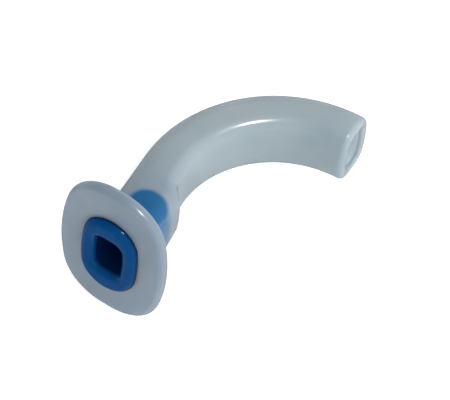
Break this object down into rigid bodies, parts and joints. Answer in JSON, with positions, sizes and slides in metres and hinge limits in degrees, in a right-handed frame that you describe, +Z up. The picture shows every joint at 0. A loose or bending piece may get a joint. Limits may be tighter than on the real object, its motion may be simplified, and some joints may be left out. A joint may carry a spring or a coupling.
{
  "type": "oropharyngeal airway",
  "caption": "Curved hollow airway tube in milky clear plastic with an oval flange, a swollen bite section and a coloured bite block with a rounded rim and a through hole, lying on its side.",
  "frame": {"origin": "on the table, under the middle of the box round the airway as it lies on its side", "axes": "+X from the flange towards the patient, pitched 15.9 degrees below the flange's axis, -Y towards the tube's open tip, +Z up from the table"},
  "size_m": [0.0574, 0.0358, 0.0311],
  "materials": {
    "milky_polyethylene": "satin, milky translucent",
    "blue_polypropylene": "gloss"
  },
  "bodies": {
    "root": {"airway_body": "milky_polyethylene", "bite_block": "blue_polypropylene"}
  },
  "joints": []
}
